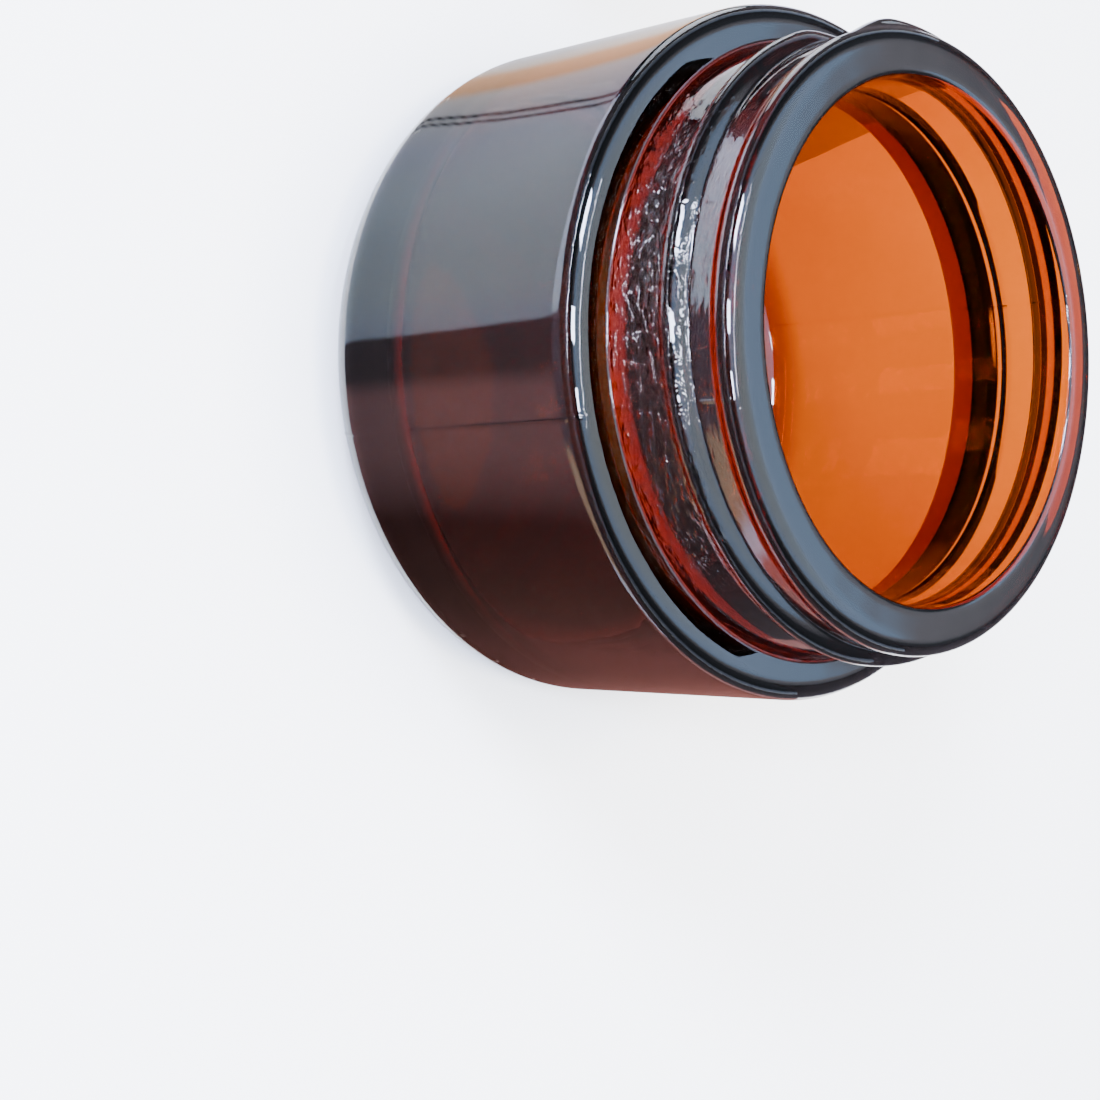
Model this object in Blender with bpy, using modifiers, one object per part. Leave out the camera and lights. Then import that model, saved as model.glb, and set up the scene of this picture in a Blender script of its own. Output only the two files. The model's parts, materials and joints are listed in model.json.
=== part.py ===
"""Amber glass cream jar with its closure: a screw lid, the foam liner in it and the sealing disc.

The jar stands on the plane z = 0 with its axis on +Z. It is open: the lid lies upside down beside
it, at -X, with the sealing disc in its mouth. A half turn about the closure's hinge line, which runs
along +Y, brings disc and lid over the neck, and the screw motion then lowers the lid onto it.
"""
import math

import bmesh
import bpy
from mathutils import Vector

MM = 0.001
STEPS = 48                                 # facets round every turned piece
GAP = 0.3 * MM                             # left between pieces that touch

# Jar body
BODY_RADIUS = 30.0 * MM
HEEL_RADIUS = 6.0 * MM
SHOULDER_HEIGHT = 32.0 * MM
SHOULDER_RADIUS = 2.0 * MM
WALL = 4.0 * MM
FLOOR_THICKNESS = 5.8 * MM
FLOOR_FILLET = 4.9 * MM

# Jar neck
RIM_HEIGHT = 44.0 * MM
NECK_RADIUS = 25.5 * MM
NECK_BASE_RADIUS = 26.5 * MM               # the neck widens a little towards the shoulder
FLARE_TOP = 36.4 * MM
LIP_RADIUS = 25.9 * MM
LIP_DEPTH = 2.2 * MM                       # height of the swollen lip under the rim
LIP_ROUNDING = 1.5 * MM
BORE_RADIUS = 21.8 * MM
BORE_ROUNDING = 0.5 * MM
BORE_BOTTOM = 36.8 * MM                    # below this the throat tapers out to THROAT_RADIUS
THROAT_RADIUS = 22.2 * MM
THROAT_HEIGHT = 31.6 * MM                  # where the throat opens under the shoulder
CAVITY_TOP = 28.8 * MM                     # where the body's straight inner wall ends
ROOT_FILLET = 0.35 * MM

# Screw thread, six turns to the inch, right-handed
PITCH = 25.4 / 6 * MM
THREAD_CREST_RADIUS = 26.8 * MM
THREAD_START_ANGLE = math.radians(183)
THREAD_START_HEIGHT = 37.0 * MM
THREAD_SWEEP = math.radians(378)
THREAD_BASE_WIDTH = 2.9 * MM
THREAD_CREST_WIDTH = 1.1 * MM
THREAD_RUNOUT = math.radians(14)           # each end tapers away over this angle

# Lid
LID_RADIUS = 28.9 * MM
LID_INNER_RADIUS = 27.3 * MM
LID_TOP_THICKNESS = 1.7 * MM
LID_EDGE_ROUNDING = 1.2 * MM
LID_CLEARANCE = 1.0 * MM                   # skirt to shoulder when screwed down
LID_THREAD_CREST_RADIUS = 26.35 * MM
LID_THREAD_SWEEP = math.radians(400)
LID_THREAD_LAG = math.radians(20)          # the lid's thread starts this far before the jar's
LID_THREAD_BASE_WIDTH = 1.8 * MM
LID_THREAD_CREST_WIDTH = 0.7 * MM

# Liner and sealing disc
LINER_RADIUS = 26.9 * MM
LINER_THICKNESS = 1.0 * MM
DISC_RADIUS = 25.6 * MM
DISC_HEIGHT = 1.6 * MM
DISC_WEB = 0.7 * MM
DISC_EDGE_WIDTH = 1.4 * MM
TAB_LENGTH = 11.0 * MM
TAB_WIDTH = 9.0 * MM
TAB_HEIGHT = 0.6 * MM
TAB_CENTRE = 15.5 * MM

# Where the closure lies and how far it travels
UNSCREW_TURNS = 2.75
LIFT = UNSCREW_TURNS * PITCH
LID_PARK_X = -76.0 * MM

DISC_BASE = RIM_HEIGHT + GAP
LINER_BASE = DISC_BASE + DISC_HEIGHT + GAP
LID_CEILING = LINER_BASE + LINER_THICKNESS + GAP
LID_TOP = LID_CEILING + LID_TOP_THICKNESS
SKIRT_BOTTOM = SHOULDER_HEIGHT + LID_CLEARANCE
HINGE_X = LID_PARK_X / 2
HINGE_Z = (LID_TOP + LIFT) / 2             # puts the upturned lid's top on the table


def clear_scene():
    for obj in list(bpy.data.objects):
        bpy.data.objects.remove(obj, do_unlink=True)


def new_collection(name):
    collection = bpy.data.collections.new(name)
    bpy.context.scene.collection.children.link(collection)
    return collection


def principled(name, color, roughness, metallic=0.0, transmission=0.0, ior=1.5):
    material = bpy.data.materials.new(name)
    material.use_nodes = True
    shader = material.node_tree.nodes["Principled BSDF"]
    shader.inputs["Base Color"].default_value = (*color, 1.0)
    shader.inputs["Roughness"].default_value = roughness
    shader.inputs["Metallic"].default_value = metallic
    shader.inputs["Transmission Weight"].default_value = transmission
    shader.inputs["IOR"].default_value = ior
    return material


def arc(center_r, center_z, radius, start_deg, end_deg, count):
    """Points (r, z) along a round stretch of a profile, both ends included."""
    points = []
    for i in range(count + 1):
        angle = math.radians(start_deg + (end_deg - start_deg) * i / count)
        points.append((center_r + radius * math.cos(angle), center_z + radius * math.sin(angle)))
    return points


def smooth_step(start, end, count):
    """Points (r, z) on an S-curve that leaves start and reaches end running along the axis."""
    points = []
    for i in range(count + 1):
        t = i / count
        blend = t * t * (3 - 2 * t)
        points.append((start[0] + (end[0] - start[0]) * blend, start[1] + (end[1] - start[1]) * t))
    return points


def turned(name, profile, collection, material):
    """A solid of revolution about Z; its profile runs down its outer side and ends on the axis."""
    mesh = bpy.data.meshes.new(name)
    verts = [(r, 0.0, z) for r, z in profile]
    mesh.from_pydata(verts, [(i, i + 1) for i in range(len(verts) - 1)], [])
    obj = bpy.data.objects.new(name, mesh)
    collection.objects.link(obj)
    screw = obj.modifiers.new("turn", "SCREW")
    screw.axis = "Z"
    screw.steps = STEPS
    screw.render_steps = STEPS
    screw.use_merge_vertices = True
    screw.merge_threshold = 0.00001
    screw.use_smooth_shade = True
    mesh.materials.append(material)
    return obj


def thread_ridge(name, collection, root, crest, start_angle, start_height, sweep, base, top):
    """A helical ridge from the radius root out (or in) to crest, tapering away at both ends.

    Each section is a trapezium, base wide at the root and top wide at the crest. Near the ends it
    shrinks towards the root, so the ridge is a loft between unlike sections.
    """
    steps = round(sweep / math.radians(360 / STEPS))
    bm = bmesh.new()
    rings = []
    for i in range(steps + 1):
        turn = sweep * i / steps
        from_end = min(turn, sweep - turn)
        full = min(1.0, 0.15 + 0.85 * from_end / THREAD_RUNOUT)
        angle = start_angle + turn
        height = start_height + PITCH * turn / math.tau
        tip = root + (crest - root) * full
        section = [(root, -base / 2), (tip, -top / 2 * full), (tip, top / 2 * full), (root, base / 2)]
        ring = []
        for radius, offset in section:
            place = (radius * math.cos(angle), radius * math.sin(angle), height + offset)
            ring.append(bm.verts.new(place))
        rings.append(ring)
    for ring, following in zip(rings, rings[1:]):
        for i in range(4):
            j = (i + 1) % 4
            bm.faces.new((ring[i], ring[j], following[j], following[i]))
    bm.faces.new(rings[0])
    bm.faces.new(rings[-1])
    bmesh.ops.recalc_face_normals(bm, faces=bm.faces)
    mesh = bpy.data.meshes.new(name)
    bm.to_mesh(mesh)
    bm.free()
    obj = bpy.data.objects.new(name, mesh)
    collection.objects.link(obj)
    return obj


def hide_cutter(obj):
    obj.hide_render = True
    obj.display_type = "WIRE"


def join_in(obj, tool):
    """Make the tool's solid part of obj with an exact union."""
    union = obj.modifiers.new("join " + tool.name, "BOOLEAN")
    union.operation = "UNION"
    union.solver = "EXACT"
    union.object = tool
    hide_cutter(tool)


def make_jar(parts, tools):
    """One moulded piece: straight body, round shoulder, threaded neck and a plain bore."""
    cavity_radius = BODY_RADIUS - WALL
    profile = [(0.0, FLOOR_THICKNESS)]
    profile += arc(
        cavity_radius - FLOOR_FILLET, FLOOR_THICKNESS + FLOOR_FILLET, FLOOR_FILLET, -90, 0, 4)
    profile += smooth_step((cavity_radius, CAVITY_TOP), (THROAT_RADIUS, THROAT_HEIGHT), 5)
    profile += [(BORE_RADIUS, BORE_BOTTOM)]
    profile += arc(
        BORE_RADIUS + BORE_ROUNDING, RIM_HEIGHT - BORE_ROUNDING, BORE_ROUNDING, 180, 90, 2)
    profile += arc(LIP_RADIUS - LIP_ROUNDING, RIM_HEIGHT - LIP_ROUNDING, LIP_ROUNDING, 90, 0, 4)
    profile += [(LIP_RADIUS, RIM_HEIGHT - LIP_DEPTH), (NECK_RADIUS, RIM_HEIGHT - LIP_DEPTH - 0.4 * MM)]
    profile += [(NECK_RADIUS, FLARE_TOP)]
    profile += arc(
        NECK_BASE_RADIUS + ROOT_FILLET, SHOULDER_HEIGHT + ROOT_FILLET, ROOT_FILLET, 180, 270, 2)
    profile += arc(
        BODY_RADIUS - SHOULDER_RADIUS, SHOULDER_HEIGHT - SHOULDER_RADIUS, SHOULDER_RADIUS, 90, 0, 4)
    profile += arc(BODY_RADIUS - HEEL_RADIUS, HEEL_RADIUS, HEEL_RADIUS, 0, -90, 5)
    profile += [(0.0, 0.0)]
    amber = principled("amber_glass", (0.42, 0.13, 0.02), 0.04, transmission=1.0, ior=1.52)
    jar = turned("glass_jar", profile, parts, amber)
    ridge = thread_ridge(
        "jar_thread", tools, NECK_RADIUS - GAP, THREAD_CREST_RADIUS, THREAD_START_ANGLE,
        THREAD_START_HEIGHT, THREAD_SWEEP, THREAD_BASE_WIDTH, THREAD_CREST_WIDTH)
    join_in(jar, ridge)
    return jar


def make_lid(parts, tools):
    """The screw lid, modelled the right way up with its skirt's edge at z = 0."""
    height = LID_TOP - SKIRT_BOTTOM
    ceiling = LID_CEILING - SKIRT_BOTTOM
    edge = LID_EDGE_ROUNDING
    profile = [(0.0, height)]
    profile += arc(LID_RADIUS - edge, height - edge, edge, 90, 0, 4)
    profile += arc(LID_RADIUS - edge / 3, edge / 3, edge / 3, 0, -90, 2)
    profile += [(LID_INNER_RADIUS + edge / 3, 0.0), (LID_INNER_RADIUS, edge / 3)]
    profile += [(LID_INNER_RADIUS, ceiling), (0.0, ceiling)]
    black = principled("lid_plastic", (0.02, 0.02, 0.022), 0.35)
    lid = turned("screw_lid", profile, parts, black)
    ridge = thread_ridge(
        "lid_thread", tools, LID_INNER_RADIUS + GAP, LID_THREAD_CREST_RADIUS,
        THREAD_START_ANGLE - LID_THREAD_LAG,
        THREAD_START_HEIGHT - PITCH * (0.5 + LID_THREAD_LAG / math.tau) - SKIRT_BOTTOM,
        LID_THREAD_SWEEP, LID_THREAD_BASE_WIDTH, LID_THREAD_CREST_WIDTH)
    join_in(lid, ridge)
    return lid, ridge


def make_liner(parts):
    """The soft wad that sits against the lid's ceiling."""
    chamfer = LINER_THICKNESS / 4
    profile = [(0.0, LINER_THICKNESS), (LINER_RADIUS - chamfer, LINER_THICKNESS)]
    profile += [(LINER_RADIUS, LINER_THICKNESS - chamfer), (LINER_RADIUS, chamfer)]
    profile += [(LINER_RADIUS - chamfer, 0.0), (0.0, 0.0)]
    foam = principled("liner_foam", (0.86, 0.86, 0.83), 0.8)
    return turned("lid_liner", profile, parts, foam)


def make_disc(parts, tools):
    """The sealing disc: a thin web, a raised edge and a lift tab that lies in the recess."""
    inner = DISC_RADIUS - DISC_EDGE_WIDTH
    chamfer = 0.3 * MM
    profile = [(0.0, DISC_WEB), (inner - chamfer, DISC_WEB), (inner, DISC_HEIGHT - chamfer)]
    profile += [(inner + chamfer, DISC_HEIGHT), (DISC_RADIUS - chamfer, DISC_HEIGHT)]
    profile += [(DISC_RADIUS, DISC_HEIGHT - chamfer), (DISC_RADIUS, chamfer)]
    profile += [(DISC_RADIUS - chamfer, 0.0), (0.0, 0.0)]
    white = principled("disc_plastic", (0.9, 0.9, 0.88), 0.4)
    disc = turned("sealing_disc", profile, parts, white)
    mesh = bpy.data.meshes.new("disc_tab")
    bm = bmesh.new()
    bmesh.ops.create_cube(bm, size=1.0)
    bmesh.ops.scale(bm, vec=Vector((TAB_LENGTH, TAB_WIDTH, TAB_HEIGHT + GAP)), verts=bm.verts)
    upright = [e for e in bm.edges if abs(e.verts[0].co.z - e.verts[1].co.z) > TAB_HEIGHT / 2]
    bmesh.ops.bevel(bm, geom=upright, offset=TAB_WIDTH / 4, segments=3, affect="EDGES")
    bmesh.ops.translate(
        bm, vec=Vector((TAB_CENTRE, 0.0, DISC_WEB + (TAB_HEIGHT - GAP) / 2)), verts=bm.verts)
    bm.to_mesh(mesh)
    bm.free()
    tab = bpy.data.objects.new("disc_tab", mesh)
    tools.objects.link(tab)
    join_in(disc, tab)
    return disc, tab


def hinge_empty(collection):
    """The line that the closure turns about; at rest it has turned the closure upside down."""
    hinge = bpy.data.objects.new("closure_hinge", None)
    hinge.location = (HINGE_X, 0.0, HINGE_Z)
    hinge.rotation_euler = (0.0, math.pi, 0.0)
    collection.objects.link(hinge)
    return hinge


def place_on_hinge(obj, hinge, height, turn=0.0):
    """Height is the seated height of the piece's own origin, plus any lift it has at rest."""
    obj.parent = hinge
    obj.location = (-HINGE_X, 0.0, height - HINGE_Z)
    obj.rotation_euler = (0.0, 0.0, turn)


def build():
    clear_scene()
    parts = new_collection("cream_jar")
    tools = new_collection("cutters")
    make_jar(parts, tools)
    hinge = hinge_empty(parts)
    disc, tab = make_disc(parts, tools)
    for piece in (disc, tab):
        place_on_hinge(piece, hinge, DISC_BASE)
    place_on_hinge(make_liner(parts), hinge, LINER_BASE + LIFT)
    unscrewed = UNSCREW_TURNS * math.tau
    for piece in make_lid(parts, tools):
        place_on_hinge(piece, hinge, SKIRT_BOTTOM + LIFT, unscrewed)


build()
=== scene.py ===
import json
import math

import bpy
import numpy as np
from mathutils import Matrix, Vector


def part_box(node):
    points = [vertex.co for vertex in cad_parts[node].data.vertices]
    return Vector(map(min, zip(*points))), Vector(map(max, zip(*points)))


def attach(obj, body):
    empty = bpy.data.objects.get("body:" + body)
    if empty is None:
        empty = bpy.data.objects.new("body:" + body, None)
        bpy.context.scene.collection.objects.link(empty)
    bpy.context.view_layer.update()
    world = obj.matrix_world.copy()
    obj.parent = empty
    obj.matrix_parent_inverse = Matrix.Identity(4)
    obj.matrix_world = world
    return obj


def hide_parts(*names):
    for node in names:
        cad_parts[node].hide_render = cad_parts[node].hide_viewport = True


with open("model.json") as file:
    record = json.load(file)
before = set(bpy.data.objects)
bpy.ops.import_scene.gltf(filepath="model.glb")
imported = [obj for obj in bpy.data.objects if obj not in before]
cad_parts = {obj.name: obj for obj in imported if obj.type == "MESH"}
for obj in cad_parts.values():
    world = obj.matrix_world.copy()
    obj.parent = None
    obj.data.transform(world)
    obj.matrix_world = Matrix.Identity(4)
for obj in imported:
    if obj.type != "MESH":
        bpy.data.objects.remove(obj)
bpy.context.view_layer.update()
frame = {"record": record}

mm = 0.001
tau = 2 * np.pi
near = 0.01 * mm                       # points this close to a flat face belong to it

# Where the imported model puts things, all in metres
jarLow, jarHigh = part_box("glass_jar")
lidLow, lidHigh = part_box("screw_lid")
linerLow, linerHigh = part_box("lid_liner")
discLow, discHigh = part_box("sealing_disc")
jointOf = {joint["name"]: joint for joint in frame["record"]["behaviour"]["joints"]}
flipAt = np.array(jointOf["closure_flip"]["pos_m"])
bodyRadius = (jarHigh.x - jarLow.x) / 2
rimHeight = jarHigh.z
lidRadius = (lidHigh.x - lidLow.x) / 2
lidHeight = lidHigh.z - lidLow.z
print("frame: body radius %.1f mm, rim at %.1f mm" % (bodyRadius / mm, rimHeight / mm))

# The screw thread that the neck and the lid share, six turns to the inch and right-handed
thread = {
    "pitch": 25.4 / 6 * mm,
    "startAngle": math.radians(183),
    "startHeight": 37.0 * mm,
    "sweep": math.radians(378),
    "runout": math.radians(16),
    "openTurns": 2.75,                 # how far the lid is unscrewed where it lies
}
lift = thread["openTurns"] * thread["pitch"]


# Surfaces worked out with numpy

def arcRun(centreR, centreZ, radius, fromDeg, toDeg, count):
    # centre plus radius times cosine and sine of evenly spaced angles, as (r, z) rows
    angles = np.radians(np.linspace(fromDeg, toDeg, count))
    return np.stack([centreR + radius * np.cos(angles), centreZ + radius * np.sin(angles)], 1)


def straightRun(start, end, count):
    # start plus the way to end times an even share, as (r, z) rows
    share = np.linspace(0, 1, count)[:, None]
    return np.array(start) * (1 - share) + np.array(end) * share


def easedRun(start, end, count):
    # z goes evenly from start to end while r follows 3t^2 - 2t^3, so both ends run along the axis
    share = np.linspace(0, 1, count)
    eased = share * share * (3 - 2 * share)
    return np.stack([
        start[0] + (end[0] - start[0]) * eased,
        start[1] + (end[1] - start[1]) * share], 1)


def joinRuns(*runs):
    # the runs one after the other, without a point that repeats the one before it
    rows = np.concatenate(runs)
    step = np.hypot(*np.diff(rows, axis=0).T)
    return rows[np.concatenate([[True], step > 1e-7])]


def smoothStep(value, low, high):
    # 0 below low, 1 above high, 3t^2 - 2t^3 between them
    t = np.clip((value - low) / (high - low), 0, 1)
    return t * t * (3 - 2 * t)


def turnedGrid(profile, columns, extraAngles=()):
    # radius, angle and height of every point: profile rows down, angles round
    angles = np.unique(np.concatenate([np.arange(columns) * tau / columns, extraAngles]))
    radius = np.repeat(profile[:, :1], len(angles), 1)
    height = np.repeat(profile[:, 1:], len(angles), 1)
    return radius, np.broadcast_to(angles, radius.shape), height


def gridPoints(radius, angle, height):
    # x and y are radius times cosine and sine of the angle
    return np.stack([radius * np.cos(angle), radius * np.sin(angle), height], -1)


def addMesh(name, coords, faces, corners, material):
    # coords (n, 3), the corner numbers of all faces in a row, and how many corners each face has
    mesh = bpy.data.meshes.new(name)
    mesh.vertices.add(len(coords))
    mesh.vertices.foreach_set("co", np.ascontiguousarray(coords, np.float32).ravel())
    mesh.loops.add(len(faces))
    mesh.loops.foreach_set("vertex_index", np.ascontiguousarray(faces, np.int32))
    mesh.polygons.add(len(corners))
    starts = np.concatenate([[0], np.cumsum(corners)[:-1]])
    mesh.polygons.foreach_set("loop_start", np.ascontiguousarray(starts, np.int32))
    mesh.polygons.foreach_set("loop_total", np.ascontiguousarray(corners, np.int32))
    mesh.update(calc_edges=True)
    mesh.validate()
    mesh.shade_smooth()
    piece = bpy.data.objects.new(name, mesh)
    bpy.context.collection.objects.link(piece)
    mesh.materials.append(material)
    return piece


def closedSkin(name, points, material):
    # a grid closed round its columns; its first and last rows shrink to one pole each
    rows, columns = points.shape[:2]
    inner = points[1:-1].reshape(-1, 3)
    coords = np.concatenate([points[:1, 0], inner, points[-1:, 0]])
    index = 1 + np.arange((rows - 2) * columns).reshape(rows - 2, columns)
    beside = np.roll(index, -1, 1)
    quads = np.stack([index[:-1], index[1:], beside[1:], beside[:-1]], -1).reshape(-1)
    first = np.stack([np.zeros(columns, int), index[0], beside[0]], -1).reshape(-1)
    lastPole = len(coords) - 1
    last = np.stack([index[-1], np.full(columns, lastPole), beside[-1]], -1).reshape(-1)
    corners = np.concatenate([
        np.full(len(quads) // 4, 4), np.full(columns, 3), np.full(columns, 3)])
    return addMesh(name, coords, np.concatenate([quads, first, last]), corners, material)


def threadHeight(angle, height, startAngle, startHeight, sweep, halfWidth, softness=0.006):
    # a ridge whose middle climbs one pitch a turn: 1 - (away / half width)^2, with a soft foot made by
    # (v + sqrt(v^2 + softness)) / 2; both ends fade over the runout angle, and the larger turn counts
    best = np.zeros_like(height)
    firstTurn = int(np.floor(startAngle / tau)) - 1
    lastTurn = int(np.ceil((startAngle + sweep) / tau)) + 1
    for turn in range(firstTurn, lastTurn):
        along = angle + turn * tau - startAngle
        middle = startHeight + thread["pitch"] * along / tau
        fade = smoothStep(np.minimum(along, sweep - along), 0, thread["runout"])
        away = np.abs(height - middle)
        section = 1 - (away / halfWidth) ** 2
        ridge = (section + np.sqrt(section ** 2 + softness)) / 2
        ridge = np.where(section > -1, ridge, 0) * smoothStep(section, -1, -0.4)
        best = np.maximum(best, ridge * fade)
    return best


def seatedToRest(points, turns=0.0, raised=0.0):
    # turns about the jar's axis, goes up by raised, then half a turn about the closure's hinge line
    a = turns * tau
    x = points[..., 0] * np.cos(a) - points[..., 1] * np.sin(a)
    y = points[..., 0] * np.sin(a) + points[..., 1] * np.cos(a)
    z = points[..., 2] + raised
    return np.stack([2 * flipAt[0] - x, y, 2 * flipAt[2] - z], -1)


# Shared material effects

def addGroup(name, inputs, outputs):
    group = bpy.data.node_groups.new(name, "ShaderNodeTree")
    for socketName, value in inputs.items():
        socket = group.interface.new_socket(
            name=socketName, in_out="INPUT", socket_type="NodeSocketFloat")
        socket.default_value = value
    for socketName, kind in outputs.items():
        group.interface.new_socket(name=socketName, in_out="OUTPUT", socket_type=kind)
    return group, group.nodes.new("NodeGroupInput"), group.nodes.new("NodeGroupOutput")


def mathNode(tree, operation, first, second=None):
    node = tree.nodes.new("ShaderNodeMath")
    node.operation = operation
    for socket, value in zip(node.inputs, (first, second)):
        if isinstance(value, bpy.types.NodeSocket):
            tree.links.new(value, socket)
        elif value is not None:
            socket.default_value = value
    return node.outputs[0]


def noiseNode(tree, scale, detail=3.0, roughness=0.5, vector=None):
    node = tree.nodes.new("ShaderNodeTexNoise")
    node.inputs["Detail"].default_value = detail
    node.inputs["Roughness"].default_value = roughness
    if isinstance(scale, bpy.types.NodeSocket):
        tree.links.new(scale, node.inputs["Scale"])
    else:
        node.inputs["Scale"].default_value = scale
    if vector is None:
        vector = tree.nodes.new("ShaderNodeTexCoord").outputs["Object"]
    tree.links.new(vector, node.inputs["Vector"])
    return node.outputs["Fac"]


touch = {"fineness": 9.0, "cut": 0.4, "contrast": 4.0}


def makeTouchMarks():
    # smudges: large soft patches times finer noise, less a cut, times a contrast, from 0 to 1
    group, given, result = addGroup(
        "touchMarks", {"Scale": 60.0, "Spread": 0.5}, {"Mask": "NodeSocketFloat"})
    patches = noiseNode(group, given.outputs["Scale"], 2.0)
    fineScale = mathNode(group, "MULTIPLY", given.outputs["Scale"], touch["fineness"])
    fine = noiseNode(group, fineScale, 6.0, 0.65)
    both = mathNode(group, "MULTIPLY", patches, fine)
    cut = mathNode(group, "MULTIPLY", given.outputs["Spread"], touch["cut"])
    over = mathNode(group, "SUBTRACT", both, cut)
    shown = group.nodes.new("ShaderNodeClamp")
    group.links.new(mathNode(group, "MULTIPLY", over, touch["contrast"]), shown.inputs[0])
    group.links.new(shown.outputs[0], result.inputs["Mask"])
    return group


mould = {"driftShare": 0.03}           # how coarse the drift is beside the grain


def makeMouldGrain():
    # the fine spark-eroded texture of a mould, as a height, and a slow drift for roughness
    group, given, result = addGroup(
        "mouldGrain", {"Grain": 5000.0}, {"Height": "NodeSocketFloat", "Drift": "NodeSocketFloat"})
    grain = noiseNode(group, given.outputs["Grain"], 4.0, 0.6)
    coarse = mathNode(group, "MULTIPLY", given.outputs["Grain"], mould["driftShare"])
    drift = noiseNode(group, coarse, 3.0)
    group.links.new(grain, result.inputs["Height"])
    group.links.new(drift, result.inputs["Drift"])
    return group


touchMarks = makeTouchMarks()
mouldGrain = makeMouldGrain()


def startMaterial(name):
    material = bpy.data.materials.new(name)
    material.use_nodes = True
    tree = material.node_tree
    return material, tree, tree.nodes["Principled BSDF"], tree.nodes["Material Output"]


def placeGroup(tree, group, **values):
    node = tree.nodes.new("ShaderNodeGroup")
    node.node_tree = group
    for name, value in values.items():
        node.inputs[name].default_value = value
    return node


def spread(tree, value, low, high):
    # value from 0 to 1 becomes low to high
    node = tree.nodes.new("ShaderNodeMapRange")
    node.inputs["To Min"].default_value = low
    node.inputs["To Max"].default_value = high
    tree.links.new(value, node.inputs["Value"])
    return node.outputs[0]


def blendColor(tree, mask, low, high):
    node = tree.nodes.new("ShaderNodeMix")
    node.data_type = "RGBA"
    node.inputs["A"].default_value = (*low, 1)
    node.inputs["B"].default_value = (*high, 1)
    tree.links.new(mask, node.inputs["Factor"])
    return node.outputs["Result"]


def rampNode(tree, value, stops):
    # stops are rows of position and colour, lowest first
    node = tree.nodes.new("ShaderNodeValToRGB")
    elements = node.color_ramp.elements
    elements.remove(elements[1])
    for number, (position, color) in enumerate(stops):
        element = elements[0] if number == 0 else elements.new(1.0)
        element.position = position
        element.color = (*color, 1)
    tree.links.new(value, node.inputs[0])
    return node.outputs[0]


def bumpNode(tree, height, strength, distance, below=None):
    node = tree.nodes.new("ShaderNodeBump")
    node.inputs["Strength"].default_value = strength
    node.inputs["Distance"].default_value = distance
    tree.links.new(height, node.inputs["Height"])
    if below is not None:
        tree.links.new(below, node.inputs["Normal"])
    return node.outputs["Normal"]


# The glass jar

glassLook = {
    "tint": (1.0, 0.97, 0.93),         # of the surface; the depth of colour comes from the volume
    "ior": 1.52,
    "absorbColor": (0.808, 0.555, 0.03),
    "absorbDensity": 1720.0,           # per metre
    "smudgeRoughness": 0.05,           # of the touch marks on the surface
    "smudgeScale": 45.0,
    "smudgeSpread": 0.62,
    "ripple": 0.10,                    # strength of the mould's ripple in the surface
    "rippleScale": 160.0,
    "rippleDepth": 0.3 * mm,
    "wrinkleScale": 2300.0,            # chill wrinkles on the neck's root
    "wrinkleSharpness": 7.0,           # high powers leave a few steep peaks
    "wrinkleDepth": 1.8 * mm,
    "wrinkleStretch": (0.4, 0.4, 1.0),
    "wrinkleFull": -24.6 * mm,         # along y: the wrinkles lie on one side of the neck
    "wrinkleEnd": -16.0 * mm,
    "wrinkleAt": [                     # height and strength
        (32.1 * mm, 0.0), (32.8 * mm, 0.9), (36.4 * mm, 1.0),
        (38.0 * mm, 0.22), (41.0 * mm, 0.16), (42.0 * mm, 0.0),
    ],
}


def addWrinkles(tree):
    # noise drawn out round the neck, to a high power, times its strength by height and side
    place = tree.nodes.new("ShaderNodeTexCoord").outputs["Object"]
    parts = tree.nodes.new("ShaderNodeSeparateXYZ")
    tree.links.new(place, parts.inputs[0])
    upNeck = rampNode(
        tree, mathNode(tree, "DIVIDE", parts.outputs["Z"], rimHeight),
        [(height / rimHeight, (strength,) * 3) for height, strength in glassLook["wrinkleAt"]])
    oneSide = spread(tree, parts.outputs["Y"], 1.0, 0.0)
    oneSide.node.inputs["From Min"].default_value = glassLook["wrinkleFull"]
    oneSide.node.inputs["From Max"].default_value = glassLook["wrinkleEnd"]
    drawnOut = tree.nodes.new("ShaderNodeMapping")
    drawnOut.inputs["Scale"].default_value = glassLook["wrinkleStretch"]
    tree.links.new(place, drawnOut.inputs["Vector"])
    noise = noiseNode(tree, glassLook["wrinkleScale"], 2.0, 0.5, drawnOut.outputs["Vector"])
    peaks = mathNode(tree, "POWER", noise, glassLook["wrinkleSharpness"])
    return mathNode(tree, "MULTIPLY", peaks, mathNode(tree, "MULTIPLY", oneSide, upNeck))


def makeAmberGlass():
    material, tree, shader, output = startMaterial("amberGlass")
    shader.inputs["Base Color"].default_value = (*glassLook["tint"], 1)
    shader.inputs["Transmission Weight"].default_value = 1.0
    shader.inputs["IOR"].default_value = glassLook["ior"]
    marks = placeGroup(
        tree, touchMarks, Scale=glassLook["smudgeScale"], Spread=glassLook["smudgeSpread"])
    tree.links.new(
        spread(tree, marks.outputs["Mask"], 0.0, glassLook["smudgeRoughness"]), shader.inputs["Roughness"])
    ripple = bumpNode(
        tree, noiseNode(tree, glassLook["rippleScale"], 1.0),
        glassLook["ripple"], glassLook["rippleDepth"])
    wrinkled = bumpNode(tree, addWrinkles(tree), 1.0, glassLook["wrinkleDepth"], ripple)
    tree.links.new(wrinkled, shader.inputs["Normal"])
    absorb = tree.nodes.new("ShaderNodeVolumeAbsorption")
    absorb.inputs["Color"].default_value = (*glassLook["absorbColor"], 1)
    absorb.inputs["Density"].default_value = glassLook["absorbDensity"]
    tree.links.new(absorb.outputs[0], output.inputs["Volume"])
    return material


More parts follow.
